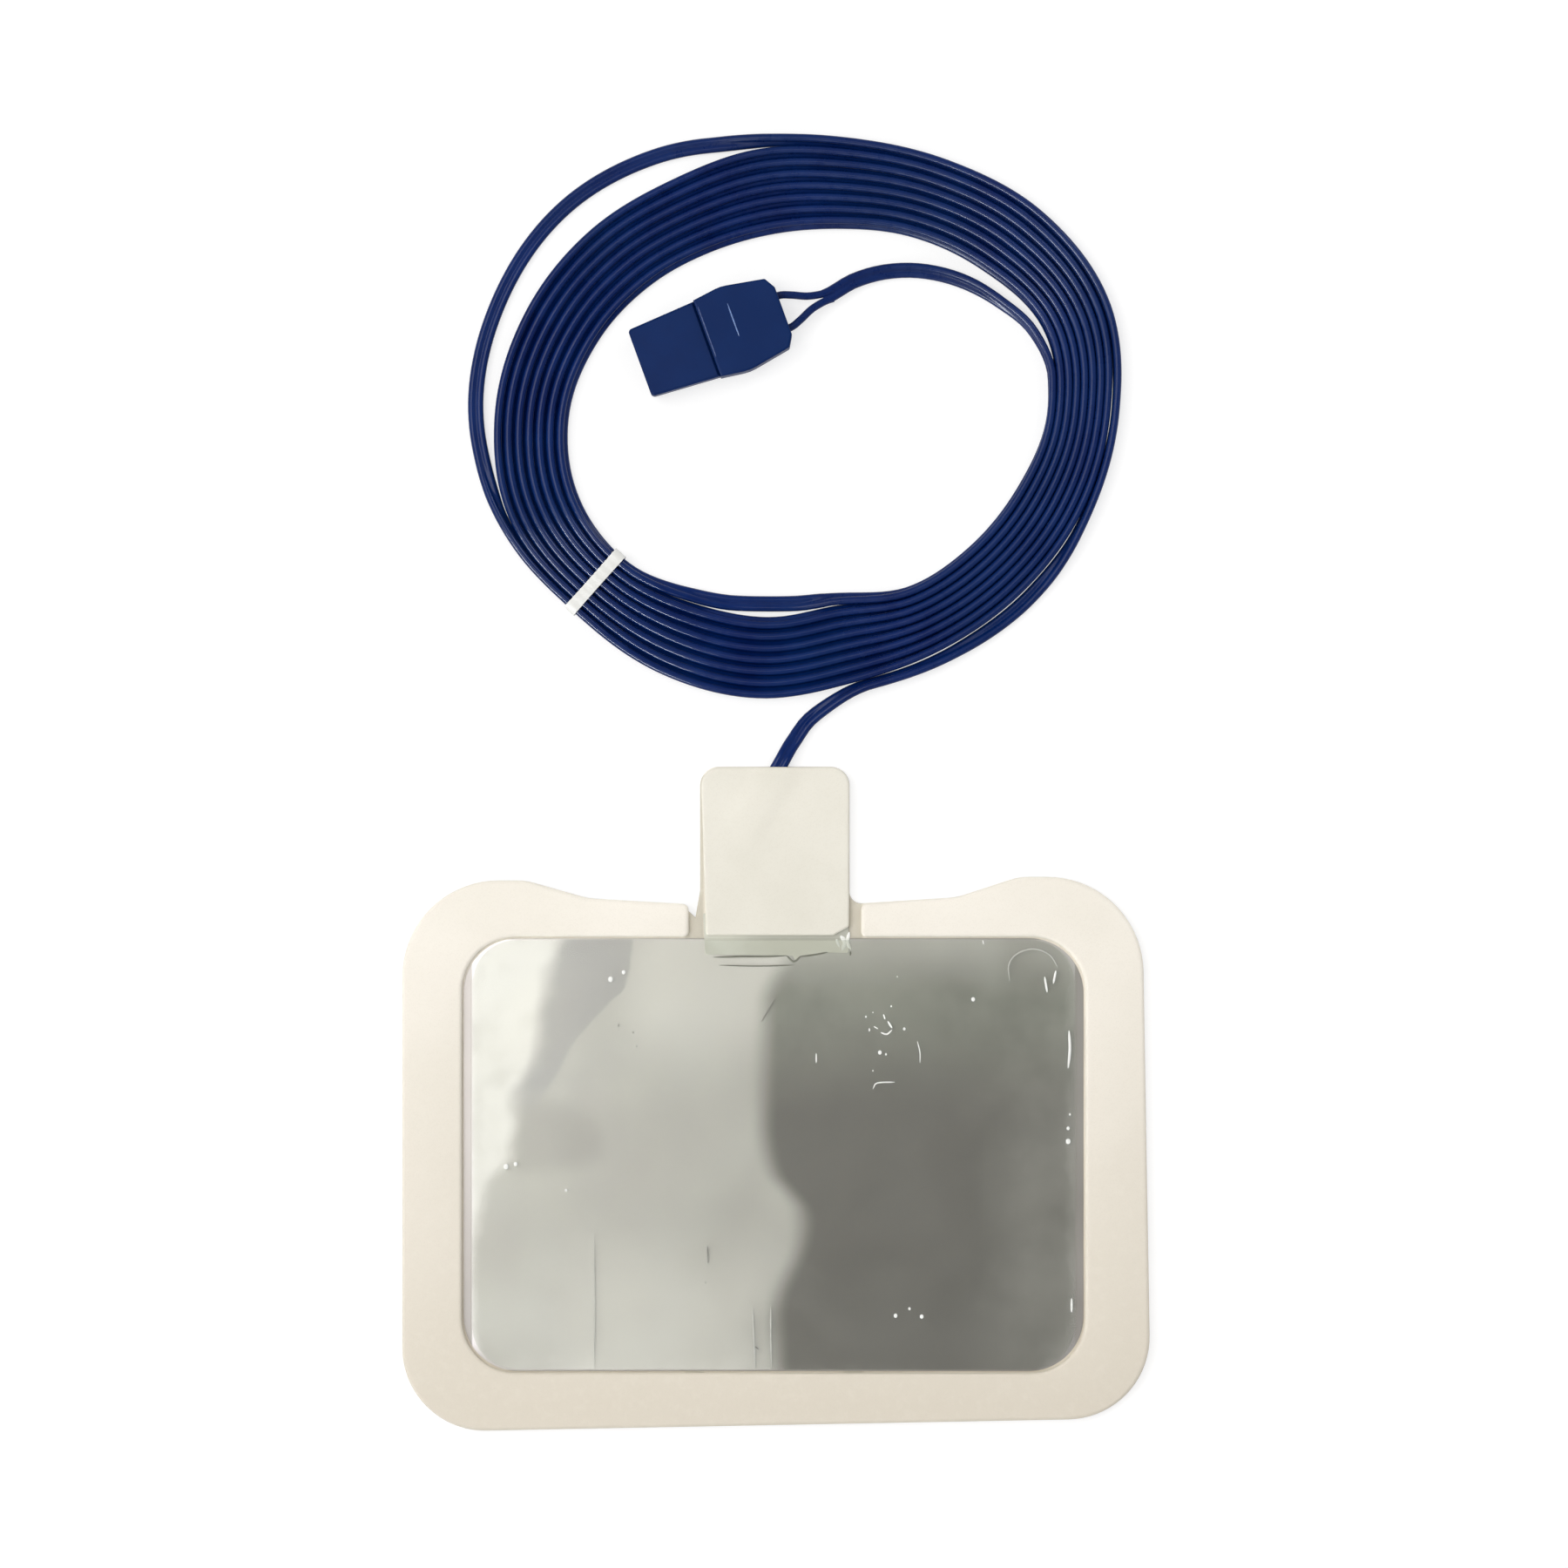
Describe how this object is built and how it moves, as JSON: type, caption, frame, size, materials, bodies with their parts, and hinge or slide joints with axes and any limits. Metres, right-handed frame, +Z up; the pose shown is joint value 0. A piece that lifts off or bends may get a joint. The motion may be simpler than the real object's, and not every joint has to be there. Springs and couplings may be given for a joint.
{
  "type": "electrosurgical return electrode",
  "caption": "Disposable foam return electrode with foil, gel and clear liner, and its flat twin lead in a tied coil with a two-step plug.",
  "frame": {"origin": "on the plane that the pad lies on, below the middle of the pad's box without its lead", "axes": "+Z up out of the gel side, +X along the pad's long side, +Y from the pad to its tab and lead"},
  "size_m": [0.1673, 0.2902, 0.008],
  "materials": {
    "foam": "matte",
    "foil": "satin",
    "gel": "glossy",
    "film": "glossy",
    "sheath": "satin",
    "moulding": "satin",
    "copper": "bright",
    "plating": "bright",
    "tie": "matte"
  },
  "bodies": {
    "root": {"backing_foam": "foam", "foam_frame": "foam", "foil_plate": "foil", "gel_pad": "gel", "release_liner": "film", "insulating_film": "film", "tab_cover": "foam", "cord_entry": "sheath", "conductor_left": "copper", "conductor_right": "copper", "crimp_left": "plating", "crimp_right": "plating", "cord_lead": "sheath", "cord_coil": "sheath", "cord_tail": "sheath", "core_leg_left": "sheath", "core_leg_right": "sheath", "coil_tie": "tie", "plug_grip_top": "moulding", "plug_grip_bottom": "moulding", "plug_nose": "moulding", "contact_left": "plating", "contact_right": "plating"}
  },
  "joints": []
}
